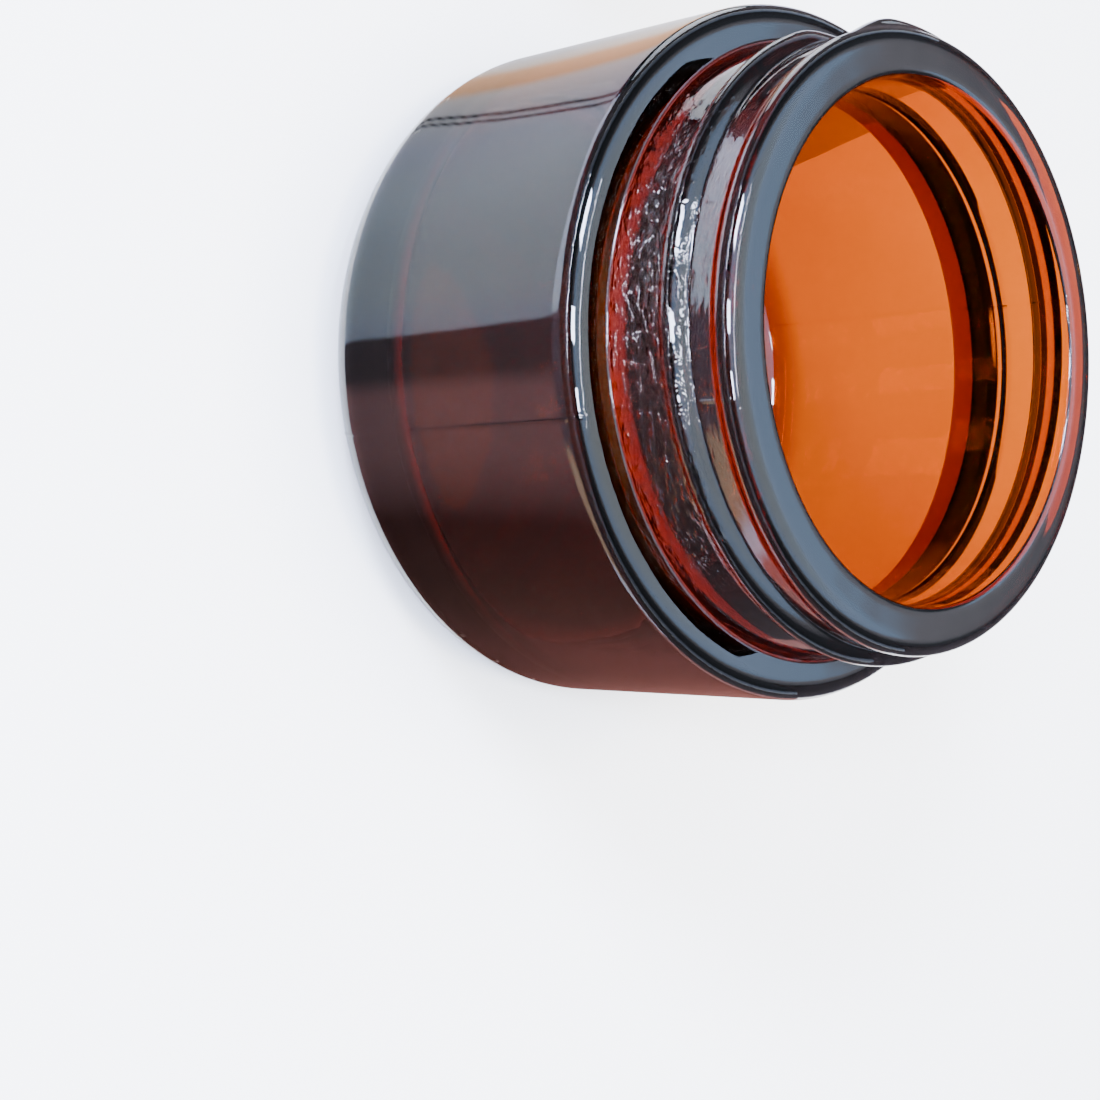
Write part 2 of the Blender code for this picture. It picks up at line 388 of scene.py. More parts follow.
jar = {
    "wall": 4.0 * mm,
    "floor": 5.8 * mm,
    "floorCrown": 0.5 * mm,            # the floor is a little thicker in its middle
    "floorFillet": 4.9 * mm,
    "cavityTop": 28.8 * mm,            # the inner wall leaves its full width here
    "throatHeight": 31.6 * mm,         # and has drawn in under the shoulder by here
    "throatRadius": 22.2 * mm,
    "boreBottom": 36.8 * mm,
    "boreRadius": 21.8 * mm,
    "boreBead": 0.14 * mm,             # the fine ridge where the neck's forming plug ended
    "boreBeadWidth": 0.22 * mm,
    "boreBeadReach": 0.7 * mm,         # rows stand closer together this far above and below it
    "boreRounding": 0.5 * mm,
    "lipRadius": 25.9 * mm,
    "lipRounding": 1.5 * mm,
    "lipDepth": 2.6 * mm,              # from the rim down to where the neck is straight
    "neckRadius": 25.5 * mm,
    "neckBaseRadius": 26.5 * mm,       # the neck widens a little towards the shoulder
    "flareTop": 36.4 * mm,
    "rootFillet": 0.35 * mm,
    "shoulderHeight": 32.0 * mm,
    "shoulderRounding": 2.0 * mm,
    "heelRounding": 6.0 * mm,
    "threadRise": 1.3 * mm,
    "threadHalfWidth": 1.45 * mm,
    "pushUp": 0.8 * mm,                # hollow under the base
    "pushUpRadius": 19.5 * mm,
    "pushUpFlat": 0.45,                # share of that radius that stays level
    "knurlDepth": 0.06 * mm,           # short bars moulded into the ring that it stands on
    "knurlBars": 96,
    "knurlInner": 20.2 * mm,
    "knurlOuter": 23.8 * mm,
    "knurlInnerFade": 0.6 * mm,
    "knurlOuterFade": 0.8 * mm,
    "seamAngle": math.radians(283),    # the mould's two halves meet here and opposite
    "seamRise": 0.08 * mm,
    "seamWidth": 0.13 * mm,
    "seamReach": 3.2,                  # widths to each side that get columns of their own
    "seamColumns": 17,
    "wallDrift": 0.10 * mm,            # slow change of the wall's thickness
    "driftFull": 14 * mm,              # at its full strength from here
    "driftFade": 26 * mm,              # to here, and gone at the next height
    "driftEnd": 34 * mm,
    "columns": 320,
}


def jarProfile():
    # up the inside from the floor's middle, over the rim, down the outside and in under the base
    cavity = bodyRadius - jar["wall"]
    fillet, bore, lip = jar["floorFillet"], jar["boreRounding"], jar["lipRounding"]
    shoulder, heel, root = jar["shoulderRounding"], jar["heelRounding"], jar["rootFillet"]
    neckTop = rimHeight - jar["lipDepth"]
    beadFoot = jar["boreBottom"] - jar["boreBeadReach"]
    beadTop = jar["boreBottom"] + jar["boreBeadReach"]
    return joinRuns(
        straightRun((0, jar["floor"]), (cavity - fillet, jar["floor"]), 24),
        arcRun(cavity - fillet, jar["floor"] + fillet, fillet, -90, 0, 14),
        straightRun((cavity, jar["floor"] + fillet), (cavity, jar["cavityTop"]), 18),
        easedRun((cavity, jar["cavityTop"]), (jar["throatRadius"], jar["throatHeight"]), 26),
        straightRun((jar["throatRadius"], jar["throatHeight"]), (jar["boreRadius"], beadFoot), 12),
        straightRun((jar["boreRadius"], beadFoot), (jar["boreRadius"], beadTop), 15),
        straightRun((jar["boreRadius"], beadTop), (jar["boreRadius"], rimHeight - bore), 10),
        arcRun(jar["boreRadius"] + bore, rimHeight - bore, bore, 180, 90, 8),
        straightRun((jar["boreRadius"] + bore, rimHeight), (jar["lipRadius"] - lip, rimHeight), 5),
        arcRun(jar["lipRadius"] - lip, rimHeight - lip, lip, 90, 0, 14),
        easedRun((jar["lipRadius"], rimHeight - lip), (jar["neckRadius"], neckTop), 9),
        straightRun((jar["neckRadius"], neckTop), (jar["neckRadius"], jar["flareTop"]), 44),
        straightRun(
            (jar["neckRadius"], jar["flareTop"]),
            (jar["neckBaseRadius"], jar["shoulderHeight"] + root), 34),
        arcRun(jar["neckBaseRadius"] + root, jar["shoulderHeight"] + root, root, 180, 270, 8),
        arcRun(bodyRadius - shoulder, jar["shoulderHeight"] - shoulder, shoulder, 90, 0, 16),
        straightRun((bodyRadius, jar["shoulderHeight"] - shoulder), (bodyRadius, heel), 16),
        arcRun(bodyRadius - heel, heel, heel, 0, -90, 18),
        straightRun((bodyRadius - heel, 0), (0, 0), 26))


def makeJar():
    # the turned profile, plus the thread's ridge; mould seams and the bore's bead, both
    # e^-(away / width)^2; two sines of the angle that drift the inner wall; the floor's parabola; the
    # hollow under the base, a smooth step of the radius; and bars, a raised cosine of the angle
    profile = jarProfile()
    reach = jar["seamReach"]
    beside = np.linspace(-reach, reach, jar["seamColumns"]) * jar["seamWidth"] / bodyRadius
    seams = np.concatenate([jar["seamAngle"] + beside, jar["seamAngle"] - np.pi + beside])
    radius, angle, height = turnedGrid(profile, jar["columns"], seams)
    row = np.arange(len(profile))[:, None]
    rimRow = int(np.argmax(profile[:, 1]))
    outside = (row > rimRow) & (radius > 0)
    inside = row <= rimRow
    ridge = threadHeight(
        angle, height, thread["startAngle"], thread["startHeight"], thread["sweep"],
        jar["threadHalfWidth"])
    onNeck = outside & (radius < jar["neckBaseRadius"]) & (height > jar["shoulderHeight"] + 1 * mm)
    radius = radius + np.where(onNeck, ridge * jar["threadRise"], 0)
    aside = np.abs((angle - jar["seamAngle"] + np.pi / 2) % np.pi - np.pi / 2) * radius
    seam = np.exp(-(aside / jar["seamWidth"]) ** 2) * jar["seamRise"]
    side = outside & (height > 1 * mm) & (height < rimHeight - 0.4 * mm)
    radius = radius + np.where(side, seam, 0)
    up = height / rimHeight
    drift = np.sin(2 * angle + 0.7 + 3 * up) + 0.6 * np.sin(3 * angle - 1.1 - 5 * up)
    shown = smoothStep(height, jar["floor"], jar["driftFull"])
    shown = shown * smoothStep(-height, -jar["driftEnd"], -jar["driftFade"])
    radius = radius + np.where(inside, drift * jar["wallDrift"] * shown, 0)
    bead = np.exp(-((height - jar["boreBottom"]) / jar["boreBeadWidth"]) ** 2) * jar["boreBead"]
    radius = radius - np.where(inside, bead, 0)
    crown = jar["floorCrown"] * (1 - (radius / (bodyRadius - jar["wall"])) ** 2)
    onFloor = inside & (height < jar["floor"] + near)
    height = height + np.where(onFloor, crown - crown[row[onFloor[:, 0]][-1, 0], 0], 0)
    under = outside & (height < near)
    level = jar["pushUpFlat"] * jar["pushUpRadius"]
    hollow = jar["pushUp"] * (1 - smoothStep(radius, level, jar["pushUpRadius"]))
    bars = 0.5 - 0.5 * np.cos(jar["knurlBars"] * angle)
    ring = smoothStep(radius, jar["knurlInner"], jar["knurlInner"] + jar["knurlInnerFade"])
    ring = ring * (
        1 - smoothStep(radius, jar["knurlOuter"] - jar["knurlOuterFade"], jar["knurlOuter"]))
    height = height + np.where(under, hollow + bars * ring * jar["knurlDepth"], 0)
    piece = closedSkin("amberJar", gridPoints(radius, angle, height), makeAmberGlass())
    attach(piece, "jar")
    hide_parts("glass_jar")


makeJar()
print("jar made")

# The screw lid

lid = {
    "topThickness": 1.7 * mm,
    "wall": 1.6 * mm,
    "edge": 1.2 * mm,
    "lowerEdge": 0.4 * mm,
    "innerCorner": 0.5 * mm,
    "ribs": 110,
    "ribDepth": 0.22 * mm,
    "ribSharpness": 0.6,               # under 1 widens the grooves between the ribs
    "ribFrom": 1.6 * mm,               # above the skirt's edge
    "ribTo": 13.2 * mm,
    "threadRise": 0.95 * mm,
    "threadHalfWidth": 0.9 * mm,
    "threadSweep": math.radians(400),
    "threadLag": math.radians(20),
    "topDish": 0.25 * mm,
    "dishFlat": 22 * mm,
    "dishEnd": 26 * mm,
    "columns": 660,
}
lidLook = {
    "color": (0.009, 0.009, 0.010),
    "scuffed": (0.018, 0.018, 0.019),
    "scuffScale": 90.0,
    "scuffSpread": 0.55,
    "specular": 0.25,
    "roughness": (0.24, 0.36),
    "grainScale": 4200.0,
    "grain": 0.25,
    "grainDepth": 0.05 * mm,
}


def makeLidPlastic():
    material, tree, shader, _ = startMaterial("lidPlastic")
    marks = placeGroup(
        tree, touchMarks, Scale=lidLook["scuffScale"], Spread=lidLook["scuffSpread"])
    grain = placeGroup(tree, mouldGrain, Grain=lidLook["grainScale"])
    color = blendColor(tree, marks.outputs["Mask"], lidLook["color"], lidLook["scuffed"])
    tree.links.new(color, shader.inputs["Base Color"])
    shader.inputs["Specular IOR Level"].default_value = lidLook["specular"]
    tree.links.new(
        spread(tree, grain.outputs["Drift"], *lidLook["roughness"]), shader.inputs["Roughness"])
    tree.links.new(
        bumpNode(tree, grain.outputs["Height"], lidLook["grain"], lidLook["grainDepth"]),
        shader.inputs["Normal"])
    return material


def makeLid():
    # turned from the top's middle over the ribbed skirt and back along the threaded inside; a raised
    # cosine of the angle, to a power, cuts the grooves between ribs and fades out at both ends
    lidTop = 2 * flipAt[2] - lift - lidLow.z           # seated height of the top
    skirtEdge = lidTop - lidHeight
    ceiling = lidTop - lid["topThickness"]
    inner = lidRadius - lid["wall"]
    edge, lower, corner = lid["edge"], lid["lowerEdge"], lid["innerCorner"]
    profile = joinRuns(
        straightRun((0, lidTop), (lidRadius - edge, lidTop), 12),
        arcRun(lidRadius - edge, lidTop - edge, edge, 90, 0, 9),
        straightRun((lidRadius, lidTop - edge), (lidRadius, skirtEdge + lower), 26),
        arcRun(lidRadius - lower, skirtEdge + lower, lower, 0, -90, 5),
        arcRun(inner + lower, skirtEdge + lower, lower, -90, -180, 5),
        straightRun((inner, skirtEdge + lower), (inner, ceiling - corner), 62),
        arcRun(inner - corner, ceiling - corner, corner, 0, 90, 4),
        straightRun((inner - corner, ceiling), (0, ceiling), 8))
    radius, angle, height = turnedGrid(profile, lid["columns"])
    outer = radius > inner + lid["wall"] / 2
    grooves = (0.5 - 0.5 * np.cos(lid["ribs"] * angle)) ** lid["ribSharpness"]
    above = height - skirtEdge
    fade = smoothStep(above, lid["ribFrom"] - 0.6 * mm, lid["ribFrom"])
    fade = fade * (1 - smoothStep(above, lid["ribTo"] - 0.4 * mm, lid["ribTo"]))
    radius = radius - np.where(outer, grooves * fade * lid["ribDepth"], 0)
    ridge = threadHeight(
        angle, height, thread["startAngle"] - lid["threadLag"],
        thread["startHeight"] - thread["pitch"] * (0.5 + lid["threadLag"] / tau),
        lid["threadSweep"], lid["threadHalfWidth"])
    onWall = (radius > inner - 0.1 * mm) & ~outer & (above > lower / 2)
    radius = radius - np.where(onWall, ridge * lid["threadRise"], 0)
    onTop = height > lidTop - near
    dish = lid["topDish"] * (1 - smoothStep(radius, lid["dishFlat"], lid["dishEnd"]))
    height = height - np.where(onTop, dish, 0)
    points = seatedToRest(gridPoints(radius, angle, height), thread["openTurns"], lift)
    piece = closedSkin("lidShell", points, makeLidPlastic())
    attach(piece, "lid")
    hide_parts("screw_lid")


makeLid()
print("lid made")

# The liner and the sealing disc

liner = {
    "edge": 0.25 * mm,
    "pressed": 0.15 * mm,
    "pressedFrom": 21.6 * mm,
    "pressedTo": 26.0 * mm,
    "pressedFade": 0.4 * mm,
    "columns": 192,
}
foamLook = {
    "color": (0.80, 0.80, 0.77),
    "paler": (0.88, 0.88, 0.86),
    "driftScale": 140.0,
    "roughness": (0.65, 0.9),
    "cellScale": 2600.0,
    "cells": 0.5,                      # strength and depth of the foam's cells
    "cellDepth": 0.08 * mm,
}


def makeFoam():
    material, tree, shader, _ = startMaterial("linerFoam")
    cells = tree.nodes.new("ShaderNodeTexVoronoi")
    cells.inputs["Scale"].default_value = foamLook["cellScale"]
    tree.links.new(tree.nodes.new("ShaderNodeTexCoord").outputs["Object"], cells.inputs["Vector"])
    drift = noiseNode(tree, foamLook["driftScale"], 4.0)
    tree.links.new(
        blendColor(tree, drift, foamLook["color"], foamLook["paler"]), shader.inputs["Base Color"])
    tree.links.new(
        spread(tree, cells.outputs["Distance"], *foamLook["roughness"]), shader.inputs["Roughness"])
    tree.links.new(
        bumpNode(tree, cells.outputs["Distance"], foamLook["cells"], foamLook["cellDepth"]),
        shader.inputs["Normal"])
    return material


def makeLiner():
    # a flat turned wad whose lower face is pressed in a little where the rim bears on it
    radius0 = (linerHigh.x - linerLow.x) / 2
    top = 2 * flipAt[2] - lift - linerLow.z
    bottom = 2 * flipAt[2] - lift - linerHigh.z
    edge = liner["edge"]
    profile = joinRuns(
        straightRun((0, top), (radius0 - edge, top), 10),
        arcRun(radius0 - edge, top - edge, edge, 90, 0, 5),
        arcRun(radius0 - edge, bottom + edge, edge, 0, -90, 5),
        straightRun((radius0 - edge, bottom), (0, bottom), 60))
    radius, angle, height = turnedGrid(profile, liner["columns"])
    under = height < bottom + near
    fade = liner["pressedFade"]
    pressed = smoothStep(radius, liner["pressedFrom"] - fade, liner["pressedFrom"])
    pressed = pressed * (1 - smoothStep(radius, liner["pressedTo"], liner["pressedTo"] + fade))
    height = height + np.where(under, pressed * liner["pressed"], 0)
    piece = closedSkin(
        "linerWad", seatedToRest(gridPoints(radius, angle, height), 0, lift), makeFoam())
    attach(piece, "liner")
    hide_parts("lid_liner")


disc = {
    "web": 0.7 * mm,
    "edgeWidth": 1.4 * mm,
    "edgeRounding": 0.3 * mm,
    "webFillet": 1.0 * mm,
    "rings": 0.10 * mm,                # turned rings on the face that shows, between these radii
    "ringPitch": 1.5 * mm,
    "ringsFrom": 2 * mm,
    "ringsTo": 18.5 * mm,
    "gate": 0.25 * mm,                 # the small dimple where the plastic flowed in
    "gateRadius": 1.4 * mm,
    "groove": 0.2 * mm,
    "grooveAt": 20.4 * mm,
    "grooveWidth": 0.5 * mm,
    "tabLength": 11.0 * mm,
    "tabWidth": 9.0 * mm,
    "tabHeight": 0.55 * mm,
    "tabCentre": 15.5 * mm,
    "tabSink": 0.1 * mm,               # how deep the tab sits in the web
    "columns": 224,
}
discLook = {
    "color": (0.70, 0.71, 0.69),
    "paler": (0.77, 0.78, 0.76),
    "roughness": (0.34, 0.52),
    "scuffScale": 70.0,
    "scuffSpread": 0.6,
    "grainScale": 3600.0,
    "grain": 0.2,
    "grainDepth": 0.05 * mm,
}


def makeDiscPlastic():
    material, tree, shader, _ = startMaterial("discPlastic")
    grain = placeGroup(tree, mouldGrain, Grain=discLook["grainScale"])
    marks = placeGroup(
        tree, touchMarks, Scale=discLook["scuffScale"], Spread=discLook["scuffSpread"])
    tree.links.new(
        blendColor(tree, grain.outputs["Drift"], discLook["color"], discLook["paler"]),
        shader.inputs["Base Color"])
    tree.links.new(
        spread(tree, marks.outputs["Mask"], *discLook["roughness"]), shader.inputs["Roughness"])
    tree.links.new(
        bumpNode(tree, grain.outputs["Height"], discLook["grain"], discLook["grainDepth"]),
        shader.inputs["Normal"])
    return material


def makeDisc():
    # a thin web with a raised edge above; below, rings that are a raised cosine of the radius to the
    # fourth power, a groove e^-(away / width)^2 and the gate's dimple by a smooth step
    radius0 = (discHigh.x - discLow.x) / 2
    base = 2 * flipAt[2] - discHigh.z
    top = 2 * flipAt[2] - discLow.z
    inner = radius0 - disc["edgeWidth"]
    edge, web, fillet = disc["edgeRounding"], base + disc["web"], disc["webFillet"]
    profile = joinRuns(
        straightRun((0, web), (inner - fillet, web), 10),
        easedRun((inner - fillet, web), (inner, top - edge), 8),
        arcRun(inner + edge, top - edge, edge, 180, 90, 5),
        straightRun((inner + edge, top), (radius0 - edge, top), 3),
        arcRun(radius0 - edge, top - edge, edge, 90, 0, 5),
        arcRun(radius0 - edge, base + edge, edge, 0, -90, 5),
        straightRun((radius0 - edge, base), (0, base), 150))
    radius, angle, height = turnedGrid(profile, disc["columns"])
    under = height < base + near
    turned = (0.5 - 0.5 * np.cos(tau * radius / disc["ringPitch"])) ** 4 * disc["rings"]
    turned = turned * smoothStep(radius, disc["ringsFrom"], disc["ringsFrom"] + 1 * mm)
    turned = turned * (1 - smoothStep(radius, disc["ringsTo"] - 1.5 * mm, disc["ringsTo"]))
    groove = np.exp(-((radius - disc["grooveAt"]) / disc["grooveWidth"]) ** 2) * disc["groove"]
    dimple = (1 - smoothStep(radius, 0, disc["gateRadius"])) * disc["gate"]
    height = height + np.where(under, turned + groove + dimple, 0)
    piece = closedSkin("discPlate", seatedToRest(gridPoints(radius, angle, height)), makeDiscPlastic())
    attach(piece, "disc")
    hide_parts("sealing_disc")
    return piece


def makeTab(material):
    # a flat flap: a superellipse outline |x|^4 + |y|^4 = 1, as wide as the sine of pi times the way
    # down, to the power 0.35, while its height falls by a cosine
    base = 2 * flipAt[2] - discHigh.z + disc["web"] - disc["tabSink"]
    down = np.linspace(0, 1, 25)
    across = np.sin(np.pi * down) ** 0.35
    across[[0, -1]] = 0
    rise = base + disc["tabHeight"] * (0.5 + 0.5 * np.cos(np.pi * down))
    angle = np.arange(96) * tau / 96
    reach = (np.abs(np.cos(angle)) ** 4 + np.abs(np.sin(angle)) ** 4) ** -0.25
    x = disc["tabCentre"] + disc["tabLength"] / 2 * across[:, None] * reach * np.cos(angle)
    y = disc["tabWidth"] / 2 * across[:, None] * reach * np.sin(angle)
    points = np.stack([x, y, np.broadcast_to(rise[:, None], x.shape)], -1)
    piece = closedSkin("discTab", seatedToRest(points), material)
    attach(piece, "disc")


makeLiner()
plate = makeDisc()
makeTab(plate.data.materials[0])
print("liner and disc made")

# The floor

floor = {
    "size": 6.0,
    "color": (0.90, 0.89, 0.86),
    "paler": 1.02,                     # slow drift of the paper's paleness
    "driftScale": 6.0,
    "specular": 0.05,
    "roughness": 0.8,
}


def makeFloor():
    half = floor["size"] / 2
    corners = np.array([(-half, -half, 0), (half, -half, 0), (half, half, 0), (-half, half, 0)])
    material, tree, shader, _ = startMaterial("floorPaper")
    drift = noiseNode(tree, floor["driftScale"], 3.0)
    paler = tuple(channel * floor["paler"] for channel in floor["color"])
    tree.links.new(blendColor(tree, drift, floor["color"], paler), shader.inputs["Base Color"])
    shader.inputs["Specular IOR Level"].default_value = floor["specular"]
    shader.inputs["Roughness"].default_value = floor["roughness"]
    addMesh("floorSheet", corners, np.arange(4), np.array([4]), material)


# Cards round the jar, which show only in reflections and through the glass; their colours are painted
# reflections, painted highlights and painted shade

cards = {
    "footInner": 30.6 * mm,            # a cone round the jar's foot
    "footOuter": 46.5 * mm,
    "footSlope": 0.9,
    "neckOuter": 88 * mm,              # the flat ring outside the cone, which the neck mirrors
    "farOuter": 900 * mm,
    "rearInner": 165 * mm,
    "lift": 0.15 * mm,                 # above the floor
    "from": 130,                       # azimuths in degrees
    "to": 400,
    "columns": 1400,
    "rows": 22,
    "shadeRadius": 105 * mm,           # a low dark wall behind the jar, seen in reflections alone as painted shade
    "shadeHeight": 80 * mm,
    "shadeFrom": 35,
    "shadeTo": 135,
    # colour of the dark cards, painted shade in reflections and in views through the glass
    "farShadeColor": (0.05, 0.04, 0.04),
    "roughness": 0.9,
    "specular": 0.1,
    "mirrorMiddle": 275,               # which azimuth of the body's wall mirrors a point of card
    "mirrorShare": 0.077,
    "mirrorGain": 0.033,               # for each mm out from the axis
    "upStart": 29.2,                   # and how high up the wall, in mm
    "upStep": 0.54,
    "footReflectionTones": [                     # painted reflections: azimuth of the wall that mirrors it, in degrees, and colour; pale blue tones are painted highlights, dark ones painted shade
        (200, (0.50, 0.48, 0.46)),
        (207, (0.66, 0.56, 0.47)),
        (211, (0.72, 0.40, 0.22)),
        (217, (0.70, 0.39, 0.21)),
        (220, (0.58, 0.54, 0.51)),
        (227, (0.56, 0.57, 0.60)),
        (234, (0.58, 0.63, 0.76)),
        (246, (0.76, 0.88, 1.00)),
        (262, (0.78, 0.90, 1.00)),
        (267.6, (0.68, 0.78, 0.96)),
        (268.2, (0.16, 0.13, 0.15)),
        (274, (0.15, 0.12, 0.13)),
        (277, (0.50, 0.28, 0.29)),
        (286, (0.42, 0.23, 0.23)),
        (297, (0.10, 0.04, 0.035)),
        (312, (0.10, 0.045, 0.035)),
        (330, (0.12, 0.045, 0.035)),
    ],
    # painted reflections on the neck: pale painted highlights and dark painted shade
    "neckReflectionTones": [
        (211, (0.24, 0.22, 0.23)),
        (222, (0.52, 0.52, 0.56)),
        (234.6, (0.66, 0.70, 0.84)),
        (235.6, (0.08, 0.06, 0.07)),
        (237.0, (0.08, 0.06, 0.07)),
        (238.0, (0.78, 0.86, 1.00)),
        (268.0, (0.80, 0.90, 1.00)),
        (269.0, (0.12, 0.10, 0.12)),
        (283.0, (0.12, 0.10, 0.11)),
        (285.0, (0.52, 0.35, 0.22)),
        (296.0, (0.48, 0.32, 0.20)),
        (297.5, (0.62, 0.64, 0.74)),
        (301.5, (0.62, 0.64, 0.74)),
        (303.5, (0.28, 0.13, 0.11)),
        (330.0, (0.24, 0.11, 0.10)),
    ],
    "paintedReflectionStreaks": [                       # painted dark lines in the reflection: azimuth at mid height, half width, depth
        (228.8, 0.50, 0.97),
        (230.6, 0.42, 0.95),
    ],
    "streakLean": 0.28,                # degrees for each mm up the wall
    "streakMiddle": 18,
}


def reflectionCardMaterial(name):
    # a matte card whose colour is a painted reflection or painted shade for the glass to mirror
    material, tree, shader, _ = startMaterial(name)
    shader.inputs["Roughness"].default_value = cards["roughness"]
    shader.inputs["Specular IOR Level"].default_value = cards["specular"]
    return material, tree, shader


def toneAt(mirror, listed):
    # painted reflection colours between the listed ones by the mirroring wall's azimuth
    degrees = [row[0] for row in listed]
    tones = np.array([row[1] for row in listed])
    return np.stack([np.interp(mirror, degrees, tones[:, channel]) for channel in range(3)], -1)


def addPaintedReflectionStreaks(color, mirror, up):
    # painted dark reflected lines: times 1 - depth * e^-(away / half width)^2 for each streak, which leans
    # as it goes up the wall
    upright = mirror - cards["streakLean"] * (up - cards["streakMiddle"])
    for at, halfWidth, depth in cards["paintedReflectionStreaks"]:
        color = color * (1 - depth * np.exp(-((upright - at) / halfWidth) ** 2))[..., None]
    return color


def hideFromView(card):
    card.visible_camera = False
    card.visible_diffuse = False
    card.visible_shadow = False


def ringSector(name, radius, angle, height, material):
    points = gridPoints(radius, angle, height).reshape(-1, 3)
    index = np.arange(len(points)).reshape(radius.shape)
    quads = np.stack([index[:-1, :-1], index[:-1, 1:], index[1:, 1:], index[1:, :-1]], -1)
    return addMesh(name, points, quads.reshape(-1), np.full(quads.size // 4, 4), material)


def paintedRing(name, inner, outer, slope, listed, streaked):
    # the ring's colours are painted reflections and painted shade for the jar's walls to mirror
    # the colour goes by the wall that mirrors it: mirror = middle + (azimuth - middle) / (share + gain r)
    # and up = (r - start) / step, in degrees and mm
    degrees = np.linspace(cards["from"], cards["to"], cards["columns"])
    radius, degrees = np.meshgrid(np.linspace(inner, outer, cards["rows"]), degrees)
    rise = (radius - inner) * slope
    reflectionPaint, tree, shader = reflectionCardMaterial(name + "Cloth")
    ring = ringSector(name, radius, np.radians(degrees), rise + cards["lift"], reflectionPaint)
    middle = cards["mirrorMiddle"]
    mirror = middle + (degrees - middle) / (cards["mirrorShare"] + cards["mirrorGain"] * radius / mm)
    color = toneAt(mirror, listed)
    if streaked:
        color = addPaintedReflectionStreaks(color, mirror, (radius / mm - cards["upStart"]) / cards["upStep"])
    color = np.concatenate([color, np.ones_like(color[..., :1])], -1)
    reflectionTone = ring.data.color_attributes.new("reflectionTone", "FLOAT_COLOR", "POINT")
    reflectionTone.data.foreach_set("color", color.astype(np.float32).ravel())
    painted = tree.nodes.new("ShaderNodeAttribute")
    painted.attribute_name = "reflectionTone"
    tree.links.new(painted.outputs["Color"], shader.inputs["Base Color"])
    hideFromView(ring)


def darkRing(name, inner, fromDeg, toDeg):
    # a dark card that puts painted shade into reflections and views through the glass
    reflectionPaint, _, shader = reflectionCardMaterial(name + "Cloth")
    shader.inputs["Base Color"].default_value = (*cards["farShadeColor"], 1)
    radius, angle = np.meshgrid(
        np.linspace(inner, cards["farOuter"], 12), np.radians(np.linspace(fromDeg, toDeg, 90)))
    hideFromView(ringSector(name, radius, angle, np.full_like(radius, cards["lift"]), reflectionPaint))
    return reflectionPaint


def makeCards():
    foot, neck = cards["footOuter"], cards["neckOuter"]
    paintedRing("footCard", cards["footInner"], foot, cards["footSlope"], cards["footReflectionTones"], True)
    paintedRing("neckCard", foot, neck, 0.0, cards["neckReflectionTones"], False)
    # the far and rear dark cards and the low wall paint shade into what the glass shows
    darkRing("farCard", neck, cards["from"], cards["to"])
    reflectionPaint = darkRing("rearCard", cards["rearInner"], cards["to"] - 360, cards["from"])
    height, angle = np.meshgrid(
        np.linspace(cards["lift"] + 0.05 * mm, cards["shadeHeight"], 4),
        np.radians(np.linspace(cards["shadeFrom"], cards["shadeTo"], 60)))
    shade = ringSector(
        "rearShade", np.full_like(height, cards["shadeRadius"]), angle, height, reflectionPaint)
    hideFromView(shade)
    shade.visible_transmission = False


# The sky and the lamps

sky = {
    "heights": [                       # sine of the elevation, colour
        (0.00, (1.00, 1.15, 1.50)),
        (0.12, (0.80, 0.95, 1.30)),
        (0.18, (0.14, 0.16, 0.20)),
        (0.46, (0.30, 0.32, 0.40)),
        (0.565, (1.50, 1.50, 1.75)),
        (0.60, (2.00, 2.75, 4.00)),
        (0.68, (2.60, 3.45, 5.00)),
        (0.80, (2.90, 3.50, 4.40)),
        (1.00, (3.20, 3.50, 3.80)),
    ],
    "seen": (3.4, 3.5, 3.6),           # the plain backdrop above the floor
}


def makeSky():
    # the light from the sky goes by its height; the backdrop itself looks plain and pale
    world = bpy.data.worlds.new("softSky")
    bpy.context.scene.world = world
    world.use_nodes = True
    tree = world.node_tree
    shaded = tree.nodes["Background"]
    plain = tree.nodes.new("ShaderNodeBackground")
    plain.inputs["Color"].default_value = (*sky["seen"], 1)
    way = tree.nodes.new("ShaderNodeSeparateXYZ")
    tree.links.new(tree.nodes.new("ShaderNodeTexCoord").outputs["Generated"], way.inputs[0])
    tree.links.new(rampNode(tree, way.outputs["Z"], sky["heights"]), shaded.inputs["Color"])
    mix = tree.nodes.new("ShaderNodeMixShader")
    tree.links.new(tree.nodes.new("ShaderNodeLightPath").outputs["Is Camera Ray"], mix.inputs[0])
    tree.links.new(shaded.outputs[0], mix.inputs[1])
    tree.links.new(plain.outputs[0], mix.inputs[2])
    tree.links.new(mix.outputs[0], tree.nodes["World Output"].inputs[0])


lamps = {
    "aimHeight": 0.8,                  # share of the rim's height that the lamps point at
    "distance": 0.9,                   # of the window, a frame of light in front, mostly to the left
    "windowColor": (0.66, 0.74, 1.0),
    "windowRadiance": 150.0,
    "windowBars": [                    # name, azimuth, elevation, width and height, all in degrees
        ("windowLeft", 227, 35, 14, 13),
        ("windowRight", 261, 35, 9, 15),
        ("windowFar", 284, 34, 6, 9),
        ("windowTop", 247, 64, 60, 1.2),
        ("windowSill", 247, 9, 62, 1.0),
    ],
    "overheadPlace": (0.0, 0.02, 1.2),
    "overheadSize": 0.7,
    "overheadPower": 40.0,
    "overheadColor": (1.0, 0.87, 0.70),
}


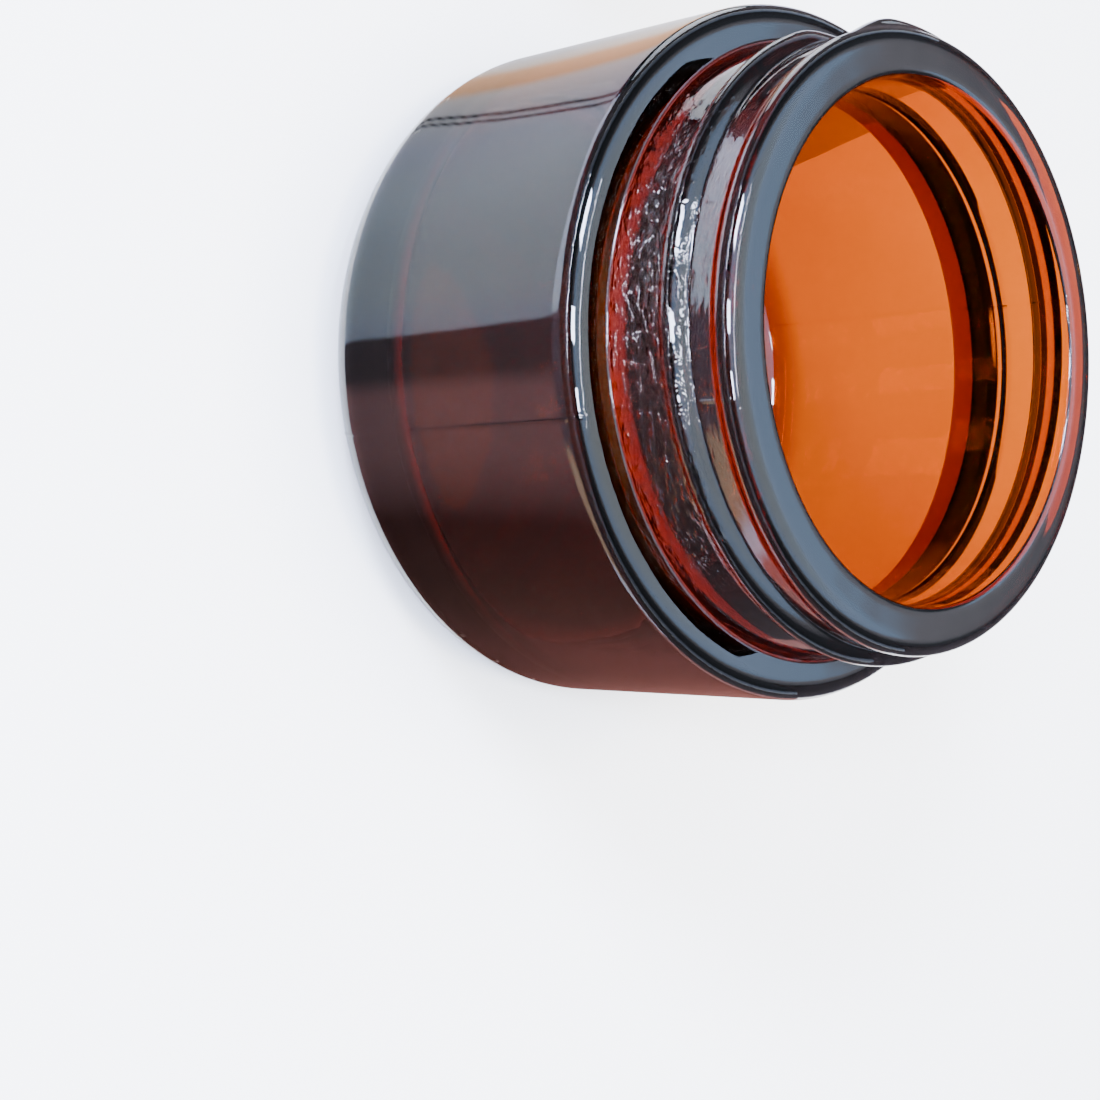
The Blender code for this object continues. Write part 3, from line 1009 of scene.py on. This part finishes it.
def addLamp(name, place, aim, width, height, power, color, mirrored=True):
    light = bpy.data.lights.new(name, "AREA")
    light.shape = "RECTANGLE"
    light.size, light.size_y = width, height
    light.energy = power
    light.color = color
    lamp = bpy.data.objects.new(name, light)
    lamp.visible_glossy = mirrored
    lamp.location = place
    lamp.rotation_euler = (place - aim).to_track_quat("Z", "Y").to_euler()
    bpy.context.collection.objects.link(lamp)


def makeLamps():
    aim = Vector((0, 0, rimHeight * lamps["aimHeight"]))
    far = lamps["distance"]
    for name, azimuth, elevation, width, height in lamps["windowBars"]:
        az, el = math.radians(azimuth), math.radians(elevation)
        way = Vector((math.cos(el) * math.cos(az), math.cos(el) * math.sin(az), math.sin(el)))
        wide, tall = far * math.radians(width), far * math.radians(height)
        power = lamps["windowRadiance"] * math.pi * wide * tall
        addLamp(name, aim + way * far, aim, wide, tall, power, lamps["windowColor"])
    size = lamps["overheadSize"]
    addLamp(
        "overhead", Vector(lamps["overheadPlace"]), aim, size, size,
        lamps["overheadPower"], lamps["overheadColor"], mirrored=False)


# The camera looks down into the mouth, rolled a quarter turn so that the jar's axis lies level
view = {
    "elevation": math.radians(44.52),
    "roll": math.radians(89.43),
    "distance": 185 * mm,
    "slideRight": -17.98 * mm,
    "slideUp": -16.94 * mm,
    "aim": (0.0, 0.0, 25 * mm),
    "lens": 68.3,
    "sensorWidth": 36,
    "clipStart": 0.01,
}


def makeCamera():
    back = Vector((0, -math.cos(view["elevation"]), math.sin(view["elevation"])))
    level = Vector((1, 0, 0))
    upright = back.cross(level)
    right = level * math.cos(view["roll"]) + upright * math.sin(view["roll"])
    up = upright * math.cos(view["roll"]) - level * math.sin(view["roll"])
    place = Vector(view["aim"]) + back * view["distance"]
    place += right * view["slideRight"] + up * view["slideUp"]
    data = bpy.data.cameras.new("mainCamera")
    data.sensor_width = view["sensorWidth"]
    data.lens = view["lens"]
    data.clip_start = view["clipStart"]
    camera = bpy.data.objects.new("mainCamera", data)
    camera.matrix_world = Matrix.Translation(place) @ Matrix((right, up, back)).transposed().to_4x4()
    bpy.context.collection.objects.link(camera)
    bpy.context.scene.camera = camera


makeFloor()
makeCards()
makeSky()
makeLamps()
makeCamera()
print("floor, light and camera made")
